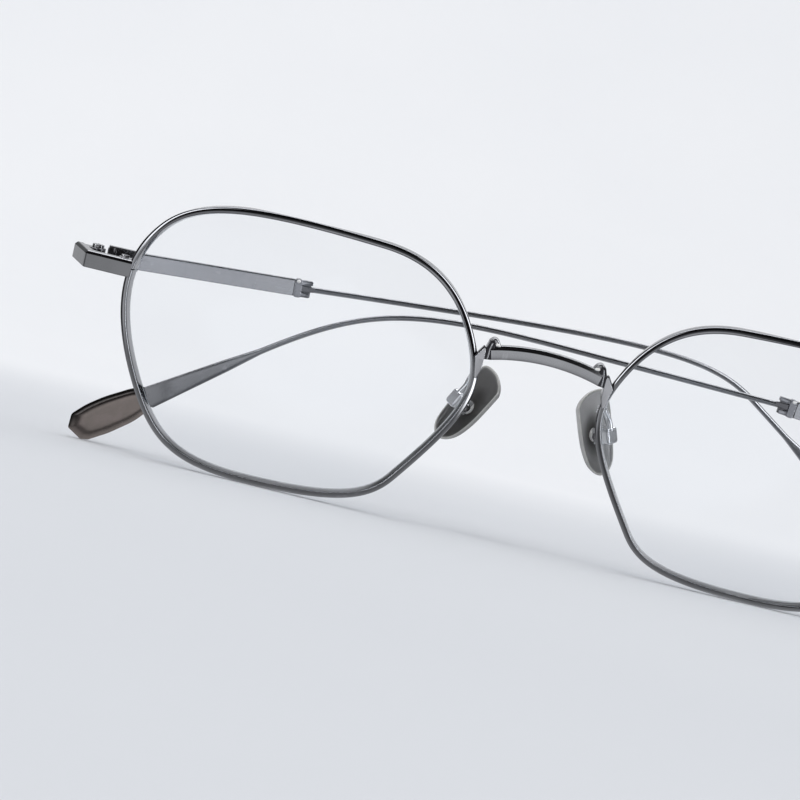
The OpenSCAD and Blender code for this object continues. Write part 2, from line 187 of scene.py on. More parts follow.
def metal(name, col, rough=0.2, grain=(1, 1, 1), grain_scale=1400.0, vary=0.10, bump=0.02, wear=0.25, coat=0.0):
    """Satin metal: drawn grain, cloudy tone, worn lighter edges."""
    m, nt, out = new_mat(name)
    b = nt.nodes.new("ShaderNodeBsdfPrincipled")
    b.inputs["Metallic"].default_value = 1.0
    b.inputs["Coat Weight"].default_value = coat
    b.inputs["Coat Roughness"].default_value = 0.08
    tc = nt.nodes.new("ShaderNodeTexCoord")
    mp = nt.nodes.new("ShaderNodeMapping")
    mp.inputs["Scale"].default_value = grain
    nt.links.new(tc.outputs["Object"], mp.inputs["Vector"])
    fine = tex(nt, "ShaderNodeTexNoise", Scale=grain_scale, Detail=5.0, Roughness=0.62)
    cloud = tex(nt, "ShaderNodeTexNoise", Scale=170.0, Detail=3.0, Roughness=0.5)
    nt.links.new(mp.outputs["Vector"], fine.inputs["Vector"])
    nt.links.new(tc.outputs["Object"], cloud.inputs["Vector"])
    lo = tuple(c * (1 - vary) for c in col)
    hi = tuple(min(1, c * (1 + vary)) for c in col)
    tone = ramp(nt, cloud.outputs["Fac"], [(0.3, lo), (0.7, hi)])
    geo = nt.nodes.new("ShaderNodeNewGeometry")
    edge = map_range(nt, geo.outputs["Pointiness"], 0.0, wear, 0.53, 0.62)
    worn = mix_col(nt, edge.outputs["Result"], tone.outputs["Color"], tuple(min(1, c * 1.9 + 0.05) for c in col))
    nt.links.new(worn.outputs[2], b.inputs["Base Color"])
    rg = map_range(nt, fine.outputs["Fac"], rough * 0.86, rough * 1.16, 0.3, 0.7)
    nt.links.new(rg.outputs["Result"], b.inputs["Roughness"])
    bp = nt.nodes.new("ShaderNodeBump")
    bp.inputs["Strength"].default_value = bump
    bp.inputs["Distance"].default_value = 0.00003
    nt.links.new(fine.outputs["Fac"], bp.inputs["Height"])
    nt.links.new(bp.outputs["Normal"], b.inputs["Normal"])
    nt.links.new(b.outputs["BSDF"], out.inputs["Surface"])
    return m


def lens_mat():
    """Clear coated plastic: sees straight through, a thin reflection that grows at a glancing angle."""
    m, nt, out = new_mat("clear_lens")
    tr = nt.nodes.new("ShaderNodeBsdfTransparent")
    gl = nt.nodes.new("ShaderNodeBsdfGlossy")
    tc = nt.nodes.new("ShaderNodeTexCoord")
    haze = tex(nt, "ShaderNodeTexNoise", Scale=60.0, Detail=2.0)
    nt.links.new(tc.outputs["Object"], haze.inputs["Vector"])
    tint = ramp(nt, haze.outputs["Fac"], [(0.3, (0.988, 0.991, 0.994)), (0.7, (0.992, 0.994, 0.996))])
    nt.links.new(tint.outputs["Color"], tr.inputs["Color"])
    rg = map_range(nt, haze.outputs["Fac"], 0.015, 0.04)
    nt.links.new(rg.outputs["Result"], gl.inputs["Roughness"])
    gl.inputs["Color"].default_value = (0.80, 0.90, 1.0, 1)
    fr = nt.nodes.new("ShaderNodeFresnel")
    fr.inputs["IOR"].default_value = 1.30
    mx = nt.nodes.new("ShaderNodeMixShader")
    lim = map_range(nt, fr.outputs["Fac"], 0.0, 0.30, 0.0, 0.30)
    nt.links.new(lim.outputs["Result"], mx.inputs[0])
    nt.links.new(tr.outputs[0], mx.inputs[1])
    nt.links.new(gl.outputs[0], mx.inputs[2])
    nt.links.new(mx.outputs[0], out.inputs["Surface"])
    return m


def lens_edge_mat():
    """Ground edge of the lens: frosted, faintly blue-grey."""
    m, nt, out = new_mat("lens_ground_edge")
    b = nt.nodes.new("ShaderNodeBsdfPrincipled")
    tc = nt.nodes.new("ShaderNodeTexCoord")
    n = tex(nt, "ShaderNodeTexNoise", Scale=2500.0, Detail=4.0)
    nt.links.new(tc.outputs["Object"], n.inputs["Vector"])
    c = ramp(nt, n.outputs["Fac"], [(0.3, (0.62, 0.66, 0.70)), (0.7, (0.78, 0.81, 0.84))])
    nt.links.new(c.outputs["Color"], b.inputs["Base Color"])
    rg = map_range(nt, n.outputs["Fac"], 0.35, 0.55)
    nt.links.new(rg.outputs["Result"], b.inputs["Roughness"])
    b.inputs["Alpha"].default_value = 0.55
    nt.links.new(b.outputs["BSDF"], out.inputs["Surface"])
    return m


def pad_mat():
    """Smoke-tinted soft plastic, glassy towards its thin edge. Its base colour carries painted light: paler along the
    thin lip, and in the hollow a painted shade near the boss that turns lighter towards the ends and top.
    """
    m, nt, out = new_mat("smoke_pad")
    b = nt.nodes.new("ShaderNodeBsdfPrincipled")
    tc = nt.nodes.new("ShaderNodeTexCoord")
    # edge attribute: painted light, the base colour turns pale along the thin lip
    at = nt.nodes.new("ShaderNodeAttribute")
    at.attribute_name = "edge"
    cloud = tex(nt, "ShaderNodeTexNoise", Scale=420.0, Detail=3.0, Roughness=0.55)
    nt.links.new(tc.outputs["Object"], cloud.inputs["Vector"])
    dark = ramp(nt, cloud.outputs["Fac"], [(0.3, (0.034, 0.033, 0.031)), (0.7, (0.052, 0.050, 0.048))])
    # painted light and shade in the hollow: dark near the boss, this lighter grey towards the ends and top
    hollow_light_paint = ramp(nt, cloud.outputs["Fac"], [(0.3, (0.46, 0.46, 0.465)), (0.7, (0.54, 0.54, 0.545))])
    am = nt.nodes.new("ShaderNodeAttribute")
    am.attribute_name = "hollow_light_paint"
    deep = mix_col(nt, am.outputs["Fac"], dark.outputs["Color"], hollow_light_paint.outputs["Color"])
    pale = ramp(nt, cloud.outputs["Fac"], [(0.3, (0.42, 0.42, 0.405)), (0.7, (0.54, 0.535, 0.515))])
    mx = mix_col(nt, at.outputs["Fac"], deep.outputs[2], pale.outputs["Color"])
    nt.links.new(mx.outputs[2], b.inputs["Base Color"])
    fine = tex(nt, "ShaderNodeTexNoise", Scale=3800.0, Detail=3.0)
    nt.links.new(tc.outputs["Object"], fine.inputs["Vector"])
    rg = map_range(nt, fine.outputs["Fac"], 0.26, 0.40)
    less = map_range(nt, at.outputs["Fac"], 1.0, 0.28)
    mul = nt.nodes.new("ShaderNodeMath")
    mul.operation = "MULTIPLY"
    nt.links.new(rg.outputs["Result"], mul.inputs[0])
    nt.links.new(less.outputs["Result"], mul.inputs[1])
    nt.links.new(mul.outputs[0], b.inputs["Roughness"])
    b.inputs["IOR"].default_value = 1.5
    b.inputs["Coat Weight"].default_value = 0.12
    b.inputs["Coat Roughness"].default_value = 0.2
    bp = nt.nodes.new("ShaderNodeBump")
    bp.inputs["Strength"].default_value = 0.05
    bp.inputs["Distance"].default_value = 0.00004
    nt.links.new(fine.outputs["Fac"], bp.inputs["Height"])
    nt.links.new(bp.outputs["Normal"], b.inputs["Normal"])
    nt.links.new(b.outputs["BSDF"], out.inputs["Surface"])
    return m


def tip_mat():
    """Moulded brown-grey sleeve with a polished skin and faint warm clouds, and a painted dark reflection: near-black
    along its upper edge.
    """
    m, nt, out = new_mat("brown_grey_sleeve")
    b = nt.nodes.new("ShaderNodeBsdfPrincipled")
    b.inputs["Metallic"].default_value = 0.86
    tc = nt.nodes.new("ShaderNodeTexCoord")
    cloud = tex(nt, "ShaderNodeTexNoise", Scale=330.0, Detail=3.0, Roughness=0.6, Distortion=0.6)
    fine = tex(nt, "ShaderNodeTexNoise", Scale=3200.0, Detail=4.0, Roughness=0.6)
    for n in (cloud, fine):
        nt.links.new(tc.outputs["Object"], n.inputs["Vector"])
    tone = ramp(nt, cloud.outputs["Fac"], [(0.28, (0.214, 0.187, 0.171)), (0.5, (0.240, 0.206, 0.189)), (0.74, (0.265, 0.222, 0.211))])
    # band attribute: painted dark reflection, the base colour goes near-black along the upper edge
    at = nt.nodes.new("ShaderNodeAttribute")
    at.attribute_name = "band"
    shade = mix_col(nt, at.outputs["Fac"], tone.outputs["Color"], (0.013, 0.011, 0.010))
    nt.links.new(shade.outputs[2], b.inputs["Base Color"])
    rg = map_range(nt, fine.outputs["Fac"], 0.17, 0.23, 0.3, 0.7)
    nt.links.new(rg.outputs["Result"], b.inputs["Roughness"])
    b.inputs["Coat Weight"].default_value = 0.15
    b.inputs["Coat Roughness"].default_value = 0.12
    bp = nt.nodes.new("ShaderNodeBump")
    bp.inputs["Strength"].default_value = 0.06
    bp.inputs["Distance"].default_value = 0.00004
    nt.links.new(fine.outputs["Fac"], bp.inputs["Height"])
    nt.links.new(bp.outputs["Normal"], b.inputs["Normal"])
    nt.links.new(b.outputs["BSDF"], out.inputs["Surface"])
    return m


M_RIM = metal("rim_metal", (0.265, 0.268, 0.278), rough=0.10, grain_scale=1500, bump=0.008)
M_BRIDGE = metal("bridge_metal", (0.365, 0.368, 0.380), rough=0.15, grain=(0.04, 1, 1), grain_scale=7000, bump=0.006)
M_END = metal("end_piece_metal", (0.210, 0.212, 0.218), rough=0.16, grain=(0.04, 1, 1), grain_scale=7000, bump=0.006)
M_HINGE = metal("hinge_metal", (0.16, 0.16, 0.167), rough=0.18, grain_scale=1700)
# near-black metal: painted shade in the grooves at the bar ends and a painted shadow behind each bridge leg
M_GROOVE_SHADE = metal("groove_painted_shade_metal", (0.035, 0.035, 0.038), rough=0.12, grain_scale=1700, bump=0.008)
M_PLATE = metal("temple_plate_metal", (0.53, 0.54, 0.57), rough=0.24, grain=(0.03, 1, 1), grain_scale=9000, vary=0.04, bump=0.004)
M_SOCKET = metal("socket_metal", (0.36, 0.365, 0.39), rough=0.22, grain_scale=1700, bump=0.008)
# darker metal: painted shade in the socket pocket
M_RECESS_SHADE = metal("socket_recess_painted_shade_metal", (0.15, 0.15, 0.16), rough=0.24, grain_scale=1700, bump=0.008)
M_WIRE = metal("wire_metal", (0.335, 0.34, 0.355), rough=0.27, grain_scale=20000, vary=0.05, bump=0.001)
M_FIT = metal("pad_fitting_metal", (0.74, 0.75, 0.77), rough=0.22, grain_scale=1500, vary=0.03, bump=0.002)
M_FIT.node_tree.nodes["Principled BSDF"].inputs["Metallic"].default_value = 0.72
# near-white and barely metallic: a painted glint, used on the pad lugs, the bridge fillets and the socket beads
M_WHITE_GLINT = metal("white_painted_glint_metal", (0.93, 0.925, 0.91), rough=0.34, grain_scale=1500, vary=0.05, bump=0.01)
M_WHITE_GLINT.node_tree.nodes["Principled BSDF"].inputs["Metallic"].default_value = 0.12
M_SCREW = metal("screw_metal", (0.40, 0.40, 0.41), rough=0.15, grain_scale=1600, vary=0.08)
M_LENS, M_LEDGE, M_PAD, M_TIP = lens_mat(), lens_edge_mat(), pad_mat(), tip_mat()


# ---------------------------------------------------------------- mesh helpers
def finish_mesh(name, verts, faces, mat, body, nodes=(), angle=32, weld=False, weighted=True):
    me = bpy.data.meshes.new(name)
    me.from_pydata([tuple(v) for v in verts], [], [tuple(int(i) for i in f) for f in faces])
    bm = bmesh.new()
    bm.from_mesh(me)
    if weld:
        bmesh.ops.remove_doubles(bm, verts=bm.verts, dist=2e-7)
    bmesh.ops.recalc_face_normals(bm, faces=bm.faces)
    bm.to_mesh(me)
    bm.free()
    return add_object(name, me, mat, body, nodes, angle, weighted)


def add_object(name, me, mat, body, nodes=(), angle=32, weighted=True):
    me.shade_smooth()
    me.set_sharp_from_angle(angle=math.radians(angle))
    ob = bpy.data.objects.new(name, me)
    bpy.context.scene.collection.objects.link(ob)
    for m in (mat if isinstance(mat, list) else [mat]):
        me.materials.append(m)
    if weighted:
        w = ob.modifiers.new("even_normals", "WEIGHTED_NORMAL")
        w.keep_sharp = True
        w.weight = 70
    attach(ob, body)
    for n in nodes:
        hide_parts(n)
    return ob


def round_poly(pts, seg=6):
    """pts: (x, y, radius). Rounds each corner with an arc."""
    out = []
    n = len(pts)
    for i in range(n):
        p, r = np.array(pts[i][:2], float), pts[i][2]
        a, b = np.array(pts[i - 1][:2], float), np.array(pts[(i + 1) % n][:2], float)
        if r <= 0:
            out.append(tuple(p))
            continue
        u, v = (a - p), (b - p)
        lu, lv = np.linalg.norm(u), np.linalg.norm(v)
        u, v = u / lu, v / lv
        ang = math.acos(max(-1, min(1, float(u @ v))))
        t = min(r / math.tan(ang / 2), lu * 0.48, lv * 0.48)
        r2 = t * math.tan(ang / 2)
        c = p + (u + v) / np.linalg.norm(u + v) * (r2 / math.sin(ang / 2))
        s, e = p + u * t - c, p + v * t - c
        a0, a1 = math.atan2(s[1], s[0]), math.atan2(e[1], e[0])
        d = (a1 - a0 + math.pi) % (2 * math.pi) - math.pi
        for k in range(seg + 1):
            q = a0 + d * k / seg
            out.append((c[0] + r2 * math.cos(q), c[1] + r2 * math.sin(q)))
    return out


def prism_bm(pts, z0, z1, plane="xy", bevel=0.1, seg=3, only=None):
    """Extruded outline with every sharp edge rounded. plane xy extrudes along z, xz along y."""
    bm = bmesh.new()
    def co(p, z):
        return (p[0], p[1], z) if plane == "xy" else (p[0], z, p[1]) if plane == "xz" else (z, p[0], p[1])
    lo = [bm.verts.new(co(p, z0)) for p in pts]
    hi = [bm.verts.new(co(p, z1)) for p in pts]
    bm.faces.new(lo)
    bm.faces.new(hi[::-1])
    n = len(pts)
    for i in range(n):
        bm.faces.new((lo[i], hi[i], hi[(i + 1) % n], lo[(i + 1) % n]))
    bmesh.ops.recalc_face_normals(bm, faces=bm.faces)
    if bevel > 0:
        ed = [e for e in bm.edges if e.calc_face_angle(0) > math.radians(25) and (only is None or only(e))]
        bmesh.ops.bevel(bm, geom=ed, offset=bevel, offset_type="OFFSET", segments=seg, profile=0.5, affect="EDGES", clamp_overlap=True)
    return bm


def bm_object(name, bms, fn, s, mat, body, nodes=(), angle=38):
    """Joins bmesh parts (in millimetres), sends them through the placing fn, makes the object."""
    verts, faces = [], []
    for bm in bms:
        bm.verts.index_update()
        base = len(verts)
        verts += [tuple(v.co) for v in bm.verts]
        faces += [[base + v.index for v in f.verts] for f in bm.faces]
        bm.free()
    return finish_mesh(name, fn(s, np.array(verts)), faces, mat, body, nodes, angle)


def cyl_bm(c, r, z0, z1, axis="z", seg=40, bevel=0.06, slot_w=0, slot_d=0.0, slot_ang=0.3):
    """Turned pin with rounded ends."""
    ring = [(math.cos(2 * math.pi * i / seg), math.sin(2 * math.pi * i / seg)) for i in range(seg)]
    prof = [(0.001, z0), (r - bevel, z0)] + [(r - bevel + bevel * math.sin(a), z0 + bevel - bevel * math.cos(a)) for a in (0.5, 1.0, 1.57)]
    prof += [(r - bevel + bevel * math.cos(a), z1 - bevel + bevel * math.sin(a)) for a in (0.0, 0.5, 1.0, 1.57)] + [(0.001, z1)]
    bm = bmesh.new()
    rows = [[bm.verts.new((c[0] + q[0] * rr, c[1] + q[1] * rr, z)) for q in ring] for rr, z in prof]
    for i in range(len(rows) - 1):
        for j in range(seg):
            bm.faces.new((rows[i][j], rows[i][(j + 1) % seg], rows[i + 1][(j + 1) % seg], rows[i + 1][j]))
    bm.faces.new(rows[0][::-1])
    bm.faces.new(rows[-1])
    return bm


def screw_bm(c, r, z0, z1, slot_w=0.2, slot_d=0.18, ang=0.4, seg=44, dome=0.08):
    """Slotted screw head: a dished top made of two half moons either side of a sunk slot."""
    bm = bmesh.new()
    ca_, sa_ = math.cos(ang), math.sin(ang)
    def place(x, y, z):
        return bm.verts.new((c[0] + x * ca_ - y * sa_, c[1] + x * sa_ + y * ca_, z))
    b = 0.07
    h = slot_w / 2
    for sg in (1, -1):
        th0 = math.asin(h / (r - b))
        n = seg // 2
        ths = [th0 + (math.pi - 2 * th0) * k / n for k in range(n + 1)]
        rings = []
        for rr, z in ((r, z0), (r, z1 - b), (r - b * 0.3, z1 - b * 0.3), (r - b, z1)):
            row = []
            for t in ths:
                x, y = rr * math.cos(t), rr * math.sin(t)
                row.append(place(x, sg * max(y, h), z))
            rings.append(row)
        for i in range(len(rings) - 1):
            for j in range(n):
                bm.faces.new((rings[i][j], rings[i][j + 1], rings[i + 1][j + 1], rings[i + 1][j]))
        mid = []
        for k in range(n + 1):
            x = (r - b) * math.cos(ths[k])
            mid.append(place(x, sg * h, z1 + dome * (1 - (x / r) ** 2) * 0.5))
        for k in range(n):
            if k == 0:
                bm.faces.new((rings[-1][0], rings[-1][1], mid[1])) if (rings[-1][0].co - mid[0].co).length < 1e-6 else bm.faces.new((rings[-1][0], rings[-1][1], mid[1], mid[0]))
            else:
                bm.faces.new((rings[-1][k], rings[-1][k + 1], mid[k + 1], mid[k]))
        low = [place((r - b) * math.cos(t), sg * h, z1 - slot_d) for t in ths]
        for k in range(n):
            bm.faces.new((mid[k], mid[k + 1], low[k + 1], low[k]))
    fl = [place(x, y, z1 - slot_d) for x, y in ((-r, -h), (r, -h), (r, h), (-r, h))]
    bm.faces.new(fl)
    base = [place(r * math.cos(2 * math.pi * k / seg), r * math.sin(2 * math.pi * k / seg), z0) for k in range(seg)]
    bm.faces.new(base)
    return bm


def sweep(rings, closed=False, caps=True):
    """rings: list of equal (m,3) arrays. Returns verts, faces."""
    n, m = len(rings), len(rings[0])
    verts = np.vstack(rings)
    faces = []
    for i in range(n if closed else n - 1):
        k = (i + 1) % n
        for j in range(m):
            l = (j + 1) % m
            faces.append((i * m + j, i * m + l, k * m + l, k * m + j))
    if not closed and caps:
        faces.append(tuple(range(m))[::-1])
        faces.append(tuple((n - 1) * m + j for j in range(m)))
    return verts, faces


def tube(path, r, m=28, up=(0.35, 0.9, 0.3), end_round=True):
    """Round wire along a smooth path, its ends rounded off."""
    path = A(path)
    n = len(path)
    rings = []
    for i in range(n):
        d = path[min(i + 1, n - 1)] - path[max(i - 1, 0)]
        d /= np.linalg.norm(d)
        e = np.cross(d, up)
        e /= np.linalg.norm(e)
        f = np.cross(d, e)
        rr = r if np.isscalar(r) else r[i]
        rings.append(np.array([path[i] + (e * math.cos(t) + f * math.sin(t)) * rr for t in np.linspace(0, 2 * math.pi, m, endpoint=False)]))
        if i == 0 and end_round:
            rings = [path[0] - d * rr * 0.3 + (q - path[0]) * 0.7 for q in [rings[0]]] + rings
    if end_round:
        last = rings[-1]
        c = last.mean(0)
        rings.append(c + d * rr * 0.3 + (last - c) * 0.7)
    return sweep(rings)


def catmull(p, k):
    p = A(p)
    out = []
    n = len(p)
    for i in range(n - 1):
        a, b, c, d = p[max(i - 1, 0)], p[i], p[i + 1], p[min(i + 2, n - 1)]
        for j in range(k):
            t = j / k
            out.append((b * 2 + (c - a) * t + (a * 2 - b * 5 + c * 4 - d) * t * t + (b * 3 - a - c * 3 + d) * t ** 3) / 2)
    out.append(p[-1])
    return np.array(out)


# ---------------------------------------------------------------- rims and lenses
PC = [(28, 4.8), (16.2, 19.2), (-18.6, 17.2), (-26.5, 0.4), (-13.6, -17.6), (14.7, -18.8)]
KC = [0.68, 0.74, 0.68, 0.85, 0.75, 0.82]
SC = [0.56, 0.71, 0.56, 0.75, 0.42, 0.42]
PC = [np.array(p, float) for p in PC]


def mid(i):
    i %= 6
    return PC[i] * (1 - SC[i]) + PC[(i + 1) % 6] * SC[i]


def outline(n):
    pts, dirs = [], []
    for i in range(6):
        a, d = mid(i + 5), mid(i)
        b = a + (PC[i] - a) * KC[i]
        c = d + (PC[i] - d) * KC[i]
        for j in range(n):
            t = j / n
            p = a * (1 - t) ** 3 + b * 3 * t * (1 - t) ** 2 + c * 3 * t * t * (1 - t) + d * t ** 3
            v = (b - a) * (1 - t) ** 2 + (c - b) * 2 * t * (1 - t) + (d - c) * t * t
            pts.append(p)
            dirs.append(v / np.linalg.norm(v))
    return np.array(pts), np.array(dirs)


def sag(x, z):
    return BASE_R - np.sqrt(BASE_R ** 2 - x * x - (z - LENS_CZ) ** 2)


def rim_axes(p, d, ease=0.0, ease_x=0.0):
    """Frame of the rim section: u outwards, n backwards. Over the brow the section stands a little squarer."""
    g = sag(p[0], p[1])
    c = np.array([p[0], g, p[1]])
    k = 1 - ease * float(np.clip((p[1] - 3) / 11, 0, 1))
    kx = 1 - ease_x * float(np.clip((p[1] - 3) / 11, 0, 1) * np.clip(-p[0] / 12, 0, 1))
    n = np.array([-p[0] * kx, BASE_R - g, (LENS_CZ - p[1]) * k])
    n = n / np.linalg.norm(n)
    o = np.array([d[1], 0, -d[0]])
    u = o - n * (o @ n)
    return c, u / np.linalg.norm(u), n


RIM_SEC = [(-0.44 + 0.15 * (1 - math.cos(q)), -0.76 - 0.14 * math.sin(q)) for q in np.linspace(0, math.pi / 2, 6)]
for q in np.linspace(0.04, 1, 17):
    RIM_SEC.append(tuple(float(a * (1 - q) ** 3 + b * 3 * q * (1 - q) ** 2 + c * 3 * q * q * (1 - q) + d * q ** 3) for a, b, c, d in ((-0.29, 0.10, 0.44, 0.44), (-0.90, -0.85, -0.73, -0.42))))
RIM_SEC += [(0.44, 0.1)] + [(0.31 + 0.13 * math.cos(q), 0.77 + 0.13 * math.sin(q)) for q in np.linspace(0, math.pi / 2, 5)]
RIM_SEC += [(0.0, 0.9)] + [(-0.34 - 0.10 * math.sin(q), 0.80 + 0.10 * math.cos(q)) for q in np.linspace(0, math.pi / 2, 4)] + [(-0.44, 0.0)]


def rim_stations():
    """Stations all the way round from just above the slit to just below it."""
    P_, D_ = outline(56)
    n = len(P_)
    up = dn = None
    for i in range(n):
        a, b = P_[i], P_[(i + 1) % n]
        if a[0] > 15 and b[0] > 15:
            for z in (6.25, 6.05):
                if (a[1] - z) * (b[1] - z) <= 0 and a[1] != b[1]:
                    t = (z - a[1]) / (b[1] - a[1])
                    st = (i, t, a * (1 - t) + b * t, D_[i] * (1 - t) + D_[(i + 1) % n] * t)
                    if z > 6.2:
                        up = st
                    else:
                        dn = st
    rising = up[0] + up[1] > dn[0] + dn[1]
    first, last = (up, dn) if rising else (dn, up)
    out = [(first[2], first[3])]
    k = first[0] + 1
    while (k - 1) % n != last[0] or k == first[0] + 1 and last[0] == first[0]:
        out.append((P_[k % n], D_[k % n]))
        k += 1
    out.append((last[2], last[3]))
    return out


for name, s in SIDES.items():
    rings = []
    for p_, d_ in rim_stations():
        c, u, n = rim_axes(p_, d_, 1.4, 1.4 if s < 0 else 0.4)
        ring_w = f_eye(s, [c + u * q[0] + n * q[1] for q in RIM_SEC])
        over = np.maximum(ring_w[:, 2] - 0.03682, 0.0)
        ring_w[:, 2] += 0.00018 * (1 - np.exp(-over / 0.00018)) - over
        rings.append(ring_w)
    v, f = sweep(rings)
    finish_mesh("rim_loop_" + name, v, f, M_RIM, "front", ["rim_" + name], angle=30)

    # lens: two spherical skins and a ground edge with a bevel that sits in the rim
    PL, DL = outline(24)
    edge, edges_n = [], []
    for i in range(len(PL)):
        c, u, n = rim_axes(PL[i], DL[i])
        edge.append((c, u, n))
    fr = [0.0, 0.12, 0.25, 0.38, 0.5, 0.62, 0.73, 0.83, 0.92, 1.0]
    def skin(w):
        rows = []
        for t in fr[1:]:
            row = []
            for (c, u, n) in edge:
                q = c - u * (RIM_W / 2 + 0.04)
                x, z = q[0] * t, LENS_CZ + (q[2] - LENS_CZ) * t
                g = sag(x, z)
                nn = np.array([-x, BASE_R - g, LENS_CZ - z]) / BASE_R
                row.append(np.array([x, g, z]) + nn * w)
            rows.append(row)
        nn = np.array([0, 1.0, 0])
        return rows, np.array([0, 0, LENS_CZ]) + nn * w
    verts, faces, m = [], [], len(edge)
    for k, w in enumerate((-LENS_T / 2, LENS_T / 2)):
        rows, cen = skin(w)
        base = len(verts)
        verts.append(cen)
        for r_ in rows:
            verts += r_
        for j in range(m):
            faces.append((base, base + 1 + j, base + 1 + (j + 1) % m))
        for i in range(len(rows) - 1):
            for j in range(m):
                a = base + 1 + i * m
                faces.append((a + j, a + (j + 1) % m, a + m + (j + 1) % m, a + m + j))
    ns = len(verts) // 2
    v0 = ns - m
    n_skin = len(faces)
    band = len(verts)
    for off, w in ((0.22, -0.12), (0.22, 0.12)):
        for (c, u, n) in edge:
            verts.append(c - u * (RIM_W / 2 + 0.04 - off) + n * w)
    ring = [v0, band, band + m, ns + v0]
    for a, b in zip(ring[:-1], ring[1:]):
        for j in range(m):
            faces.append((a + j, a + (j + 1) % m, b + (j + 1) % m, b + j))
    ob = finish_mesh("lens_clear_" + name, f_eye(s, np.array(verts)), faces, [M_LENS, M_LEDGE], "front", ["lens_" + name], angle=25)
    for i, p in enumerate(ob.data.polygons):
        if i >= n_skin:
            p.material_index = 1

# ---------------------------------------------------------------- bridge
ARCH = 0.0178


def bar_rings():
    sec = round_poly([(0.83, 0.0, 0.10), (0.83, 1.36, 0.08), (1.24, 1.90, 0.16), (2.22, 1.94, 0.14), (2.38, 1.78, 0.08),
                      (2.38, 0.12, 0.10), (2.25, 0.0, 0.08)], 5)          # (y, height over the lower edge)
    rings = []
    for x in np.linspace(-7.45, 7.45, 61):
        lo = 7.05 - ARCH * x * x
        sl = 2 * ARCH * x
        k = 1 / math.sqrt(1 + sl * sl)
        rings.append(np.array([[x + q[1] * sl * k * 0.98, q[0], lo + q[1] * k * 0.98] for q in sec]))
    return rings


v, f = sweep(bar_rings())
finish_mesh("bridge_bar", world(v), f, M_BRIDGE, "front", ["bridge"], angle=30)
for name, s in SIDES.items():
    lobe = round_poly([(8.55, 7.3, 0.3), (8.22, 8.5, 0.5), (7.62, 9.1, 0.55), (6.95, 8.8, 0.5), (6.45, 8.0, 0.4), (6.9, 6.3, 0.3), (8.1, 5.95, 0.3)], 8)
    rib = round_poly([(8.52, 5.90, 0.10), (8.46, 7.6, 0.5), (8.06, 8.66, 0.30), (7.62, 8.80, 0.22), (7.34, 8.3, 0.25), (7.42, 7.4, 0.3), (7.42, 6.02, 0.12)], 7)
    core = round_poly([(8.12, 6.0, 0.09), (8.10, 7.4, 0.5), (7.90, 8.40, 0.1), (7.72, 8.40, 0.1), (7.93, 7.3, 0.5), (7.93, 6.0, 0.09)], 6)
    # thin outline just behind the leg at its top and rim side: a painted shadow in near-black metal
    leg_painted_shadow = round_poly([(9.90, 5.95, 0.1), (8.74, 7.80, 0.14), (8.44, 7.3, 0.1), (8.46, 5.9, 0.2), (8.95, 4.6, 0.2), (9.50, 4.5, 0.1)], 6)
    leg = round_poly([(9.72, 5.95, 0.10), (8.66, 7.62, 0.14), (8.44, 7.1, 0.1), (8.40, 5.8, 0.2), (8.42, 4.5, 0.3), (8.86, 2.95, 0.12), (9.18, 3.25, 0.1)], 6)
    # solder fillet on each bar end, drawn in the near-white painted glint material
    bead = prism_bm(round_poly([(7.34, 8.02, 0.2), (7.34, 8.44, 0.2), (6.70, 8.30, 0.15), (6.60, 8.06, 0.1)], 6), 1.08, 1.62, "xz", 0.15, 4)
    bm_object("bridge_lobe_" + name, [prism_bm(lobe, 1.62, 3.48, "xz", 0.30, 5)], f_front, s, M_BRIDGE, "front", [])
    bm_object("bridge_rib_" + name, [prism_bm(rib, 1.02, 2.2, "xz", 0.24, 6), prism_bm(leg_painted_shadow, 1.22, 2.3, "xz", 0.1, 4)], f_front, s, M_GROOVE_SHADE, "front", [])
    bm_object("bridge_rib_core_" + name, [prism_bm(core, 0.86, 1.4, "xz", 0.11, 4)], f_front, s, M_BRIDGE, "front", [])
    bm_object("bridge_fillet_" + name, [bead], f_front, s, M_WHITE_GLINT, "front", [])
    bm_object("bridge_leg_" + name, [prism_bm(leg, 1.02, 2.46, "xz", 0.17, 5)], f_front, s, M_BRIDGE, "front", [])

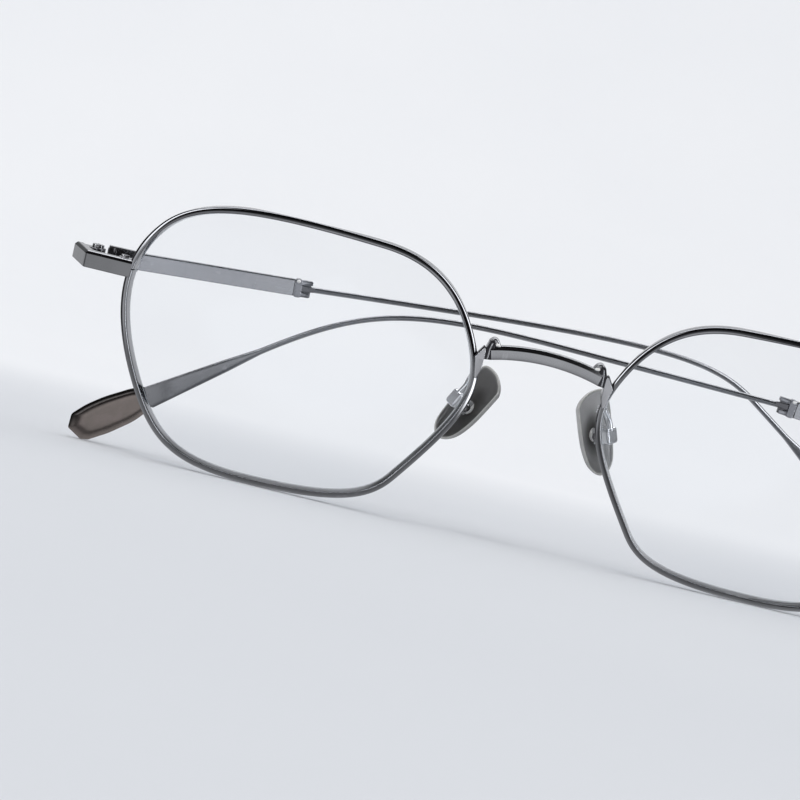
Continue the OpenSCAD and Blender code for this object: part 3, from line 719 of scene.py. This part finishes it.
# ---------------------------------------------------------------- end pieces, closing blocks, hinges
for name, s in SIDES.items():
    # end piece: one section swept along the front arm, round the corner and along the side arm
    path = [((58.05, 3.1), (58.05, 4.9)), ((61.0, 3.1), (61.0, 4.9)), ((63.4, 3.1), (62.9, 4.9)), ((64.24, 3.1), (63.3, 4.95)),
            ((64.45, 3.16), (63.45, 5.0)), ((64.60, 3.42), (63.6, 5.08)), ((64.9, 4.25), (63.9, 5.6)), ((65.9, 6.9), (64.7, 7.4)), ((67.1, 10.1), (65.9, 10.1))]
    rings = []
    b = 0.39
    for (o, i) in path:
        o, i = np.array(o, float), np.array(i, float)
        t = np.linalg.norm(i - o)
        e = (i - o) / t
        prof = [(0.10, 4.95), (0.03, 4.98), (0.0, 5.05), (0.0, 7.25 - b - 0.02), (0.01, 7.25 - b + 0.01), (0.04, 7.25 - b + 0.045), (b - 0.06, 7.25 - 0.06), (b + 0.06, 7.25), (t - 0.10, 7.25), (t - 0.03, 7.22), (t, 7.15), (t, 5.05), (t - 0.08, 4.95)]
        rings.append(np.array([[*(o + e * q[0]), q[1]] for q in prof]))
    v, f = sweep(rings)
    finish_mesh("end_piece_" + name, f_front(s, v), f, M_END, "front", ["endpiece_" + name], angle=16)

    # closing block: two half barrels with a web to the rim
    parts = []
    for z0, z1 in ((4.95, 6.05), (6.25, 7.3)):
        parts.append(cyl_bm((59.4, 5.6), 0.85, z0, z1, bevel=0.12))
        parts.append(prism_bm([(58.0, 4.5), (59.4, 4.5), (59.4, 5.8), (58.0, 5.8)], z0 + 0.01, z1 - 0.01, "xy", 0.1, 3))
    bm_object("closing_block_" + name, parts, f_front, s, M_RIM, "front", ["rim_lock_" + name])
    bm_object("closing_screw_" + name, [cyl_bm((59.4, 5.6), 0.37, 4.9, 7.4, bevel=0.05), screw_bm((59.4, 5.6), 0.56, 7.30, 7.56)], f_front, s, M_SCREW, "front",
              ["lock_screw_" + name])

    # hinge, front half: two knuckles with webs to the side arm
    parts = []
    for z in (4.95, 6.55):
        parts.append(cyl_bm((HX, HY), 1.1, z, z + 0.7, bevel=0.10, seg=56))
        parts.append(prism_bm([(HX + 0.1, HY + 0.3), (65.75, 9.4), (65.0, 7.45), (64.3, 7.42), (HX - 0.72, HY - 0.55)], z + 0.01, z + 0.69, "xy", 0.07, 3))
    bm_object("hinge_knuckles_" + name, parts, f_front, s, M_HINGE, "front", ["hinge_front_" + name])
    bm_object("hinge_pin_" + name, [cyl_bm((HX, HY), 0.49, 4.9, 7.3, bevel=0.08), screw_bm((HX, HY), 0.82, 7.27, 7.67, 0.22, 0.2, 1.1)], f_front, s, M_SCREW, "front",
              ["hinge_screw_" + name])

    # hinge, temple half: one knuckle, a web and a leaf behind the plate
    parts = [cyl_bm((0, 0), 1.08, -0.4, 0.4, bevel=0.08, seg=56),
             prism_bm([(0.2, 0.12), (1.9, 0.12), (1.9, 1.36), (0.3, 1.0)], -0.39, 0.39, "xy", 0.06, 3)]
    parts.append(prism_bm(round_poly([(1.5, 0.45, 0.12), (6.0, 0.45, 0.2), (6.0, 1.37, 0.05), (1.5, 1.37, 0.05)], 4), -1.1, 1.65, "xy", 0.12, 3))
    parts.append(prism_bm(round_poly([(2.15, 0.36, 0.05), (2.62, 0.36, 0.05), (2.62, 0.6, 0.02), (2.15, 0.6, 0.02)], 3), -0.95, 1.5, "xy", 0.06, 3))
    bm_object("hinge_leaf_" + name, parts, f_temple, s, M_HINGE, "temple_" + name, ["hinge_temple_" + name])

# ---------------------------------------------------------------- temples
TIP_OUT = [(-0.2, 1.6, 0.15), (1.6, 2.15, 8.0), (5.7, 2.55, 20.0), (8.6, 2.5, 12.0), (11, 2.1, 0.9), (12.3, 0.5, 0.45),
           (11.4, -1.7, 0.5), (10.4, -2.25, 0.8), (7.3, -2.5, 12.0), (3.2, -2.35, 10.0), (0.2, -1.6, 0.15)]


def lookup(x, table):
    xs, ys = zip(*table)
    return float(np.interp(x, xs, ys))


def wire_path(s):
    a, b = np.array([BEND_AT[s], 0.0]), np.array(WIRE_B[s])
    c = np.array([b[0] + b[1] / math.tan(math.radians(DROP)), 0.0])
    cd, sd = math.cos(math.radians(DROP)), math.sin(math.radians(DROP))
    pts = [np.array([x, 0.0]) for x in np.linspace(0, BEND_AT[s], 12, endpoint=False)]
    ks = [-99.0] * 12
    p1, p2 = a + (c - a) * 0.86, b + (c - b) * 0.86
    for t in np.linspace(0, 1, 90):
        pts.append(a * (1 - t) ** 3 + p1 * 3 * t * (1 - t) ** 2 + p2 * 3 * t * t * (1 - t) + b * t ** 3)
        ks.append(0.0)
    for h in np.linspace(0.4, 27.6 + LEAD[s], 70):
        pts.append(b + np.array([cd, -sd]) * h)
        ks.append(h)
    pts = np.array(pts)
    seg = np.r_[0, np.cumsum(np.linalg.norm(np.diff(pts, axis=0), axis=1))]
    at_b = seg[12 + 89]
    k = seg - at_b - LEAD[s]
    return pts, k


for name, s in SIDES.items():
    body = "temple_" + name
    L = PLATE_L[s]
    # plate: flat bar, a little thicker at the hinge, its long edges softened
    sec_n = 12
    rings = []
    for d, n0, n1 in [(1.45, 1.35, 2.55), (1.55, 1.35, 2.55), (3.5, 1.35, 2.55), (6, 1.35, 2.55), (10, 1.37, 2.45), (14, 1.38, 2.35), (20, 1.39, 2.33), (L + 0.3, 1.4, 2.3)]:
        sec = round_poly([(n0, -1.2, 0.10), (n0, 1.02, 0.06), (n0 + 0.20, 1.2, 0.06), (n1, 1.2, 0.12), (n1, -1.2, 0.12)], 4)
        rings.append(np.array([[d, q[0], q[1]] for q in sec]))
    v, f = sweep(rings)
    finish_mesh("temple_plate_" + name + "_bar", f_plate(s, v), f, M_PLATE, body, ["temple_plate_" + name], angle=28)

    # socket: raised collar, then a block with a pocket in which the wire's tongue lies
    o = L - 28.2
    collar = round_poly([(28.22 + o, -1.32, 0.18), (29.18 + o, -1.32, 0.25), (29.18 + o, 1.30, 0.3), (28.22 + o, 1.30, 0.3)], 5)
    top = round_poly([(29.1 + o, 0.52, 0.05), (30.7 + o, 0.62, 0.08), (30.7 + o, 1.2, 0.12), (29.1 + o, 1.2, 0.12)], 4)
    low = round_poly([(29.1 + o, -0.52, 0.05), (30.35 + o, -0.62, 0.08), (30.35 + o, -1.2, 0.12), (29.1 + o, -1.2, 0.12)], 4)
    back = [(29.1 + o, -1.15), (30.5 + o, -1.15), (30.5 + o, 1.15), (29.1 + o, 1.15)]
    tongue = round_poly([(29.15 + o, -0.46, 0.1), (30.3 + o, -0.40, 0.1), (31.1 + o, -0.30, 0.1), (31.1 + o, 0.30, 0.1), (30.3 + o, 0.40, 0.1), (29.15 + o, 0.46, 0.1)], 4)
    parts = [prism_bm(collar, 1.24, 2.46, "xz", 0.10, 3), prism_bm(top, 1.34, 2.3, "xz", 0.08, 3), prism_bm(low, 1.34, 2.3, "xz", 0.08, 3)]
    bm_object("wire_socket_" + name, parts, f_plate, s, M_SOCKET, body, ["temple_socket_" + name])
    # pocket back, the wire's tongue and a thin strip in the darker metal: painted shade in the recess
    parts = [prism_bm(back, 1.60, 2.26, "xz", 0.05, 2), prism_bm(tongue, 1.46, 2.22, "xz", 0.14, 4),
             prism_bm([(28.02 + o, -1.16), (28.16 + o, -1.16), (28.16 + o, 1.16), (28.02 + o, 1.16)], 1.33, 2.4, "xz", 0.03, 2)]
    bm_object("wire_socket_recess_" + name, parts, f_plate, s, M_RECESS_SHADE, body, [])
    # bead on the collar top, in the near-white painted glint material
    bm = bmesh.new()
    bmesh.ops.create_uvsphere(bm, u_segments=32, v_segments=18, radius=0.30)
    for vv in bm.verts:
        vv.co = (vv.co.x * 1.1 + 28.62 + o, vv.co.y * 0.8 + 1.36, vv.co.z * 0.9 + 1.00)
    bm_object("wire_socket_bead_" + name, [bm], f_plate, s, M_WHITE_GLINT, body, [])

    # wire: round, then drawn out into a flat blade
    pts, ks = wire_path(s)
    rings = []
    n = len(pts)
    for i in range(n):
        d = pts[min(i + 1, n - 1)] - pts[max(i - 1, 0)]
        d /= np.linalg.norm(d)
        nz = np.array([-d[1], d[0]])
        k = ks[i]
        hw = lookup(k, [(-8, 0.4), (-3, 0.405), (0, 0.43), (5.4, 0.87), (10.4, 1.17), (17.4, 1.6), (17.6, 1.3), (27.6, 0.9)])
        ht = lookup(k, [(-8, 0.4), (0, 0.38), (10.4, 0.33), (17.4, 0.3), (27.6, 0.25)])
        ex = lookup(k, [(-6, 2.0), (2, 2.4), (8, 3.6), (17.4, 5.5)])
        row = []
        for j in range(36):
            t = 2 * math.pi * j / 36
            c_, s_ = math.cos(t), math.sin(t)
            uu = math.copysign(abs(c_) ** (2 / ex), c_) * hw
            vv = math.copysign(abs(s_) ** (2 / ex), s_) * ht
            row.append([pts[i][0] + nz[0] * uu, vv, pts[i][1] + nz[1] * uu])
        rings.append(np.array(row))
    v, f = sweep(rings)
    finish_mesh("temple_wire_" + name + "_drawn", f_wire(s, v), f, M_WIRE, body, ["temple_wire_" + name], angle=40)

    # sleeve on the end: flat paddle, wide bevels, clipped nose
    cd, sd = math.cos(math.radians(DROP)), math.sin(math.radians(DROP))
    h = TIP_START + LEAD[s]
    bx, bz = WIRE_B[s][0] + h * cd, WIRE_B[s][1] - h * sd
    outl = round_poly(TIP_OUT, 6)
    def tip_row(fx, fz, y, inset=0.0):
        cx, cz = 5.9, 0.05
        return [[0.5 * (1 - inset) * (0 if fx > 0.99 else 1) + p[0] * fx if inset == 0 and fx < 0.99 else p[0] * fx, y, p[1] * fz] for p in outl]
    rows, dark = [], []
    for t, y in ((0.0, -0.22), (0.03, -0.28), (0.10, -0.345), (0.3, -0.475), (0.5, -0.59), (0.72, -0.70), (0.95, -0.785), (1.2, -0.845), (1.5, -0.882), (1.8, -0.897), (2.2, -0.90), (2.7, -0.90)):
        fx, fz, ox = 1 - 0.13 * t, 1 - 0.26 * t, 0.5 * t
        rows.append(np.array([[ox + p[0] * fx, y, p[1] * fz] for p in outl]))
        # painted dark reflection: weight of the near-black band, full on the upper bevel and fading inward over the
        # face
        f_t = float(np.clip((1.75 - t) / 1.0, 0, 1))
        dark.append([f_t * f_t * (3 - 2 * f_t) * float(np.clip(p[1] / 1.1, 0, 1)) for p in outl])
    rings = rows[::-1] + [r_ * [1, -1, 1] for r_ in rows]
    v, f = sweep(rings)
    q = rot_y(v, -DROP) + [bx, 0, bz]
    ob = finish_mesh("ear_sleeve_" + name, f_wire(s, q), f, M_TIP, body, ["tip_sleeve_" + name], angle=40)
    # band attribute: painted dark reflection along the upper edge
    at = ob.data.attributes.new("band", "FLOAT", "POINT")
    at.data.foreach_set("value", np.array(dark[::-1] + dark, np.float32).ravel())

# ---------------------------------------------------------------- nose pads with their fittings
PAD_SHAPE = [(-0.91, 0.6), (-0.88, 0), (-0.78, -0.36), (-0.57, -0.68), (-0.21, -0.9), (0.18, -0.98), (0.6, -0.93),
             (0.93, -0.73), (1.05, -0.33), (1.09, 0.20), (1.06, 0.66), (0.80, 0.965), (0.06, 1.02), (-0.54, 0.92), (-0.86, 0.77)]


def pad_outline(k=7):
    n = len(PAD_SHAPE)
    P = [np.array(p, float) for p in PAD_SHAPE]
    out = []
    for i in range(n):
        p, q, r, t = P[i - 1], P[i], P[(i + 1) % n], P[(i + 2) % n]
        for j in range(k):
            u = j / k
            out.append((q * 2 + (r - p) * u + (p * 2 - q * 5 + r * 4 - t) * u * u + (q * 3 - p - r * 3 + t) * u ** 3) / 2 * 0.98)
    return np.array(out) * [3.5, 6.0]


def add_attribute(ob, name, values):
    at = ob.data.attributes.new(name, "FLOAT", "POINT")
    at.data.foreach_set("value", np.array(values, np.float32))


for name, s in SIDES.items():
    out = pad_outline()
    m = len(out)
    cx = np.array([0.25, 0.0])
    # profile from the middle of the hollow, over the rim, round to the middle of the contact face: (share of outline,
    # y, painted paleness)
    prof = [(0.03, 0.02, 0), (0.2, 0.02, 0), (0.4, 0.03, 0), (0.58, 0.06, 0.0), (0.74, 0.11, 0.0), (0.85, 0.18, 0.0), (0.92, 0.27, 0.0), (0.960, 0.37, 0.05), (0.982, 0.46, 0.5),
            (0.996, 0.525, 1), (1.010, 0.55, 1), (1.024, 0.535, 1), (1.034, 0.48, 0.9), (1.038, 0.38, 0.62), (1.032, 0.22, 0.46), (1.016, 0.02, 0.40), (0.992, -0.18, 0.36), (0.960, -0.32, 0.34),
            (0.90, -0.44, 0.3), (0.78, -0.51, 0.3), (0.6, -0.53, 0.3), (0.4, -0.54, 0.3), (0.2, -0.55, 0.3), (0.03, -0.55, 0.3)]
    rings, val = [], []
    for t, y, e in prof:
        rings.append(np.array([[cx[0] + (p[0] - cx[0]) * t, y, cx[1] + (p[1] - cx[1]) * t] for p in out]))
        val += [e] * m
    v, f = sweep(rings)
    me_name = "nose_pad_" + name + "_shell"
    ob = finish_mesh(me_name, f_pad(s, v), f, M_PAD, "pad_" + name, ["nose_pad_" + name], angle=60, weighted=False)
    add_attribute(ob, "edge", val)
    # painted light and shade for the hollow: dark near the boss, lighter towards the ends and the top, far lighter on
    # the right pad than on the left
    far = np.hypot(v[:, 0] / 3.2, v[:, 2] / 5.2)
    up = np.clip(v[:, 2] / 6, -1, 1)
    hz = np.clip((far - 0.24) / 0.48, 0, 1) ** 1.5
    add_attribute(ob, "hollow_light_paint", hz * ((0.62 + 0.40 * up) if s > 0 else (0.09 + 0.10 * up)))

    # lug and foot of the pad boss, in the near-white painted glint material
    lug = round_poly([(0.02, -0.8, 0.1), (1.45, -0.8, 0.62), (2.28, -0.72, 0.62), (2.28, 0.72, 0.62), (1.45, 0.8, 0.62), (0.02, 0.8, 0.1)], 7)
    bm = prism_bm([(p[0], p[1]) for p in lug], -0.5, 0.5, "yz", 0.12, 3)
    foot = cyl_bm((0, 0), 0.98, 0.0, 0.48, bevel=0.12)
    for vv in foot.verts:
        x, y, z = vv.co
        vv.co = (x, z, y)
    bm_object("pad_lug_" + name, [bm, foot], f_pad, s, M_WHITE_GLINT, "pad_" + name, ["pad_boss_" + name])

    keep_flat = lambda e: not all(abs(q.co.y - 2.56) < 1e-4 for q in e.verts)
    block = round_poly([(-1.14, -1.18, 0.5), (1.14, -1.18, 0.5), (1.14, 1.18, 0.5), (-1.14, 1.18, 0.5)], 8)
    cheek = round_poly([(0.63, -1.18, 0.06), (1.14, -1.18, 0.5), (1.14, 1.18, 0.5), (0.63, 1.18, 0.06)], 8)
    parts = [prism_bm(block, 2.56, 3.48, "xz", 0.34, 7, keep_flat)]
    parts += [prism_bm([(q * p_[0], p_[1]) for p_ in cheek], 0.78, 2.56, "xz", 0.10, 4, keep_flat) for q in (1, -1)]
    bm_object("pad_box_" + name + "_cast", parts, f_pad, s, M_FIT, "front", ["pad_box_" + name])
    sc = [cyl_bm((0, 0), 0.35, -1.3, 1.3, bevel=0.08), screw_bm((0, 0), 0.6, 1.17, 1.47, 0.16, 0.12, 0.7)]
    for b_ in sc:
        for vv in b_.verts:
            x, y, z = vv.co
            vv.co = (-z, 1.5 + y, x)
    bm_object("pad_pin_" + name, sc, f_pad, s, M_SCREW, "front", ["pad_screw_" + name])

    mid_pt = (pad_f(s, [0, 2.7, 3.1])[0] + np.array([9.5, 5.9, 2.6])) / 2
    path = catmull([[8.9, 2.7, 2.4], [9.1, 4.2, 2.8], mid_pt, pad_f(s, [0, 2.9, 2.1])[0], pad_f(s, [0, 3.05, 0.7])[0]], 14)
    v, f = tube(path, 0.49, 28)
    finish_mesh("pad_arm_" + name + "_bent", f_front(s, v), f, M_FIT, "front", ["pad_arm_" + name], angle=60)

# ---------------------------------------------------------------- stage: floor running up into a pale backdrop
def stage_mat():
    m, nt, out = new_mat("pale_stage")
    b = nt.nodes.new("ShaderNodeBsdfDiffuse")
    tc = nt.nodes.new("ShaderNodeTexCoord")
    n = tex(nt, "ShaderNodeTexNoise", Scale=9.0, Detail=2.0)
    nt.links.new(tc.outputs["Object"], n.inputs["Vector"])
    c = ramp(nt, n.outputs["Fac"], [(0.3, (0.880, 0.892, 0.915)), (0.7, (0.896, 0.906, 0.926))])
    near = ramp(nt, n.outputs["Fac"], [(0.3, (0.672, 0.690, 0.722)), (0.7, (0.690, 0.708, 0.738))])
    xyz = nt.nodes.new("ShaderNodeSeparateXYZ")
    nt.links.new(tc.outputs["Object"], xyz.inputs[0])
    far = map_range(nt, xyz.outputs["Y"], 0.0, 1.0, 0.03, 0.34)
    far.interpolation_type = "SMOOTHSTEP"
    mx = mix_col(nt, far.outputs["Result"], near.outputs["Color"], c.outputs["Color"])
    nt.links.new(mx.outputs[2], b.inputs["Color"])
    nt.links.new(b.outputs["BSDF"], out.inputs["Surface"])
    return m


prof = [(-1.6, 0.0), (-0.6, 0.0), (0.0, 0.0), (0.25, 0.0)]
R_C, Y_C = 0.55, 0.35
prof += [(Y_C + R_C * math.sin(a), R_C - R_C * math.cos(a)) for a in np.linspace(0, math.pi / 2, 40)]
prof += [(Y_C + R_C, 1.2), (Y_C + R_C, 2.4)]
verts, faces = [], []
for x in (-2.5, 2.5):
    verts += [(x, y, z) for y, z in prof]
n = len(prof)
faces = [(i, i + 1, n + i + 1, n + i) for i in range(n - 1)]
me = bpy.data.meshes.new("studio_sweep")
me.from_pydata(verts, [], faces)
me.shade_smooth()
floor = bpy.data.objects.new("studio_sweep", me)
bpy.context.scene.collection.objects.link(floor)
me.materials.append(stage_mat())
floor.visible_glossy = False

# ---------------------------------------------------------------- light: a pale room, a dark ceiling for the metal to mirror
w = bpy.data.worlds.new("studio")
bpy.context.scene.world = w
w.use_nodes = True
nt = w.node_tree
for nn in list(nt.nodes):
    nt.nodes.remove(nn)
out = nt.nodes.new("ShaderNodeOutputWorld")
tc = nt.nodes.new("ShaderNodeTexCoord")
sp = nt.nodes.new("ShaderNodeSeparateXYZ")
nt.links.new(tc.outputs["Generated"], sp.inputs[0])


def calc(op, a, b=None):
    m = nt.nodes.new("ShaderNodeMath")
    m.operation = op
    for i, v in enumerate((a, b)):
        if v is None:
            continue
        if isinstance(v, (int, float)):
            m.inputs[i].default_value = v
        else:
            nt.links.new(v, m.inputs[i])
    return m.outputs[0]


def smooth(v, lo, hi):
    m = nt.nodes.new("ShaderNodeMapRange")
    m.interpolation_type = "SMOOTHSTEP"
    m.inputs["From Min"].default_value = lo
    m.inputs["From Max"].default_value = hi
    nt.links.new(v, m.inputs["Value"])
    return m.outputs["Result"]


ex, ey, ez = sp.outputs["X"], sp.outputs["Y"], sp.outputs["Z"]
rho = calc("MAXIMUM", calc("SQRT", calc("MAXIMUM", calc("SUBTRACT", 1.0, calc("MULTIPLY", ey, ey)), 0.0)), 0.001)
turn = calc("DIVIDE", calc("ARCCOSINE", ey), math.pi)
# back wall, a dim gap, a long soft box, a dark room, then a paler patch round the viewpoint
ring = ramp(nt, turn, [(0.0, (0.80, 0.81, 0.84)), (0.12, (0.78, 0.79, 0.82)), (0.26, (0.60, 0.61, 0.63)), (0.285, (0.16, 0.165, 0.175)), (0.33, (0.14, 0.145, 0.15)),
                       (0.355, (4.2, 4.25, 4.4)), (0.455, (4.2, 4.25, 4.4)), (0.475, (0.008, 0.008, 0.009)), (0.88, (0.008, 0.008, 0.009)), (0.95, (0.11, 0.112, 0.12)), (1.0, (0.34, 0.345, 0.36))])
# the right hand wall: its soft box stands further forward
wall = ramp(nt, turn, [(0.0, (0.80, 0.81, 0.84)), (0.15, (0.85, 0.86, 0.89)), (0.25, (1.05, 1.06, 1.10)), (0.285, (0.16, 0.165, 0.17)), (0.48, (0.02, 0.02, 0.022)), (0.565, (0.008, 0.008, 0.009)),
                       (0.59, (4.6, 4.65, 4.8)), (0.71, (4.6, 4.65, 4.8)), (0.74, (0.008, 0.008, 0.009)), (0.88, (0.008, 0.008, 0.009)), (0.95, (0.11, 0.112, 0.12)), (1.0, (0.34, 0.345, 0.36))])
# high up on the left: the same, its soft box narrower
wall_l = ramp(nt, turn, [(0.0, (0.80, 0.81, 0.84)), (0.12, (0.60, 0.61, 0.63)), (0.20, (0.16, 0.165, 0.17)), (0.48, (0.02, 0.02, 0.022)), (0.625, (0.008, 0.008, 0.009)),
                         (0.645, (4.6, 4.65, 4.8)), (0.71, (4.6, 4.65, 4.8)), (0.74, (0.008, 0.008, 0.009)), (0.88, (0.008, 0.008, 0.009)), (0.95, (0.11, 0.112, 0.12)), (1.0, (0.34, 0.345, 0.36))])
# the left hand wall lower down: grey with a dark gap
grey = ramp(nt, turn, [(0.0, (0.62, 0.63, 0.66)), (0.295, (0.56, 0.57, 0.59)), (0.34, (0.10, 0.10, 0.11)), (0.57, (0.06, 0.06, 0.065)), (0.62, (0.90, 0.91, 0.95)), (0.67, (0.95, 0.96, 1.0)), (0.72, (0.55, 0.56, 0.58)), (1.0, (0.34, 0.345, 0.36))])
# the table: dimmer where the frame shades it, pale towards the front
table = ramp(nt, turn, [(0.0, (0.78, 0.79, 0.82)), (0.50, (0.56, 0.57, 0.59)), (0.68, (0.32, 0.325, 0.34)), (0.74, (0.15, 0.152, 0.16)), (0.82, (0.14, 0.143, 0.15)), (0.84, (0.20, 0.205, 0.215)), (0.866, (0.78, 0.79, 0.82)), (1.0, (0.82, 0.83, 0.86))])
right = smooth(calc("DIVIDE", ex, rho), 0.40, 0.75)
high_l = smooth(calc("MULTIPLY", calc("DIVIDE", ex, rho), -1.0), 0.40, 0.75)
low = calc("SUBTRACT", 1.0, smooth(calc("DIVIDE", ez, rho), 0.02, 0.26))
left = calc("MULTIPLY", low, smooth(calc("MULTIPLY", calc("DIVIDE", ex, rho), -1.0), 0.45, 0.80))
down = smooth(calc("MULTIPLY", calc("DIVIDE", ez, rho), -1.0), 0.32, 0.52)
m0 = mix_col(nt, right, ring.outputs["Color"], wall.outputs["Color"])
m0b = mix_col(nt, high_l, m0.outputs[2], wall_l.outputs["Color"])
m1 = mix_col(nt, left, m0b.outputs[2], grey.outputs["Color"])
env = mix_col(nt, down, m1.outputs[2], table.outputs["Color"])
bg_g = nt.nodes.new("ShaderNodeBackground")
nt.links.new(env.outputs[2], bg_g.inputs["Color"])
bg_d = nt.nodes.new("ShaderNodeBackground")
bg_d.inputs["Color"].default_value = (0.985, 0.99, 1.0, 1)
bg_d.inputs["Strength"].default_value = 0.955
lp = nt.nodes.new("ShaderNodeLightPath")
mx = nt.nodes.new("ShaderNodeMixShader")
nt.links.new(lp.outputs["Is Glossy Ray"], mx.inputs[0])
nt.links.new(bg_d.outputs[0], mx.inputs[1])
nt.links.new(bg_g.outputs[0], mx.inputs[2])
nt.links.new(mx.outputs[0], out.inputs["Surface"])


def area(name, loc, target, size, power, col=(1, 1, 1), glossy=False):
    l = bpy.data.lights.new(name, "AREA")
    l.shape = "RECTANGLE"
    l.size, l.size_y = size
    l.energy = power
    l.color = col
    o = bpy.data.objects.new(name, l)
    bpy.context.scene.collection.objects.link(o)
    o.location = loc
    d = Vector(target) - Vector(loc)
    o.rotation_mode = "QUATERNION"
    o.rotation_quaternion = d.to_track_quat("-Z", "Y")
    o.visible_glossy = glossy
    return o


area("key_soft", (-0.35, -0.25, 0.75), (0, 0, 0), (0.45, 0.45), 1.15, (1.0, 0.99, 0.975))

# ---------------------------------------------------------------- camera at the photograph's angle
CF = np.array([-28.886, -268.058, 44.183])
RM = np.array([[0.9711382689, 0.0025846057, 0.2385032126], [0.2352819307, -0.1745183075, -0.9561306257], [0.0391519563, 0.9846505371, -0.1700895181]])
AX = (RM * np.array([[1], [-1], [-1]])) @ RX.T
cam_d = bpy.data.cameras.new("photo_camera")
cam_d.lens, cam_d.sensor_width = 90.0, 36.0
cam_d.clip_start, cam_d.clip_end = 0.01, 20.0
cam = bpy.data.objects.new("photo_camera", cam_d)
bpy.context.scene.collection.objects.link(cam)
mw = Matrix.Identity(4)
pos = world(CF)[0]
for i in range(3):
    for j in range(3):
        mw[j][i] = AX[i][j]
    mw[i][3] = pos[i]
cam.matrix_world = mw
bpy.context.scene.camera = cam
vs = bpy.context.scene.view_settings
vs.view_transform = "Standard"
vs.look = "None"
vs.exposure = 0.0
vs.gamma = 1.0
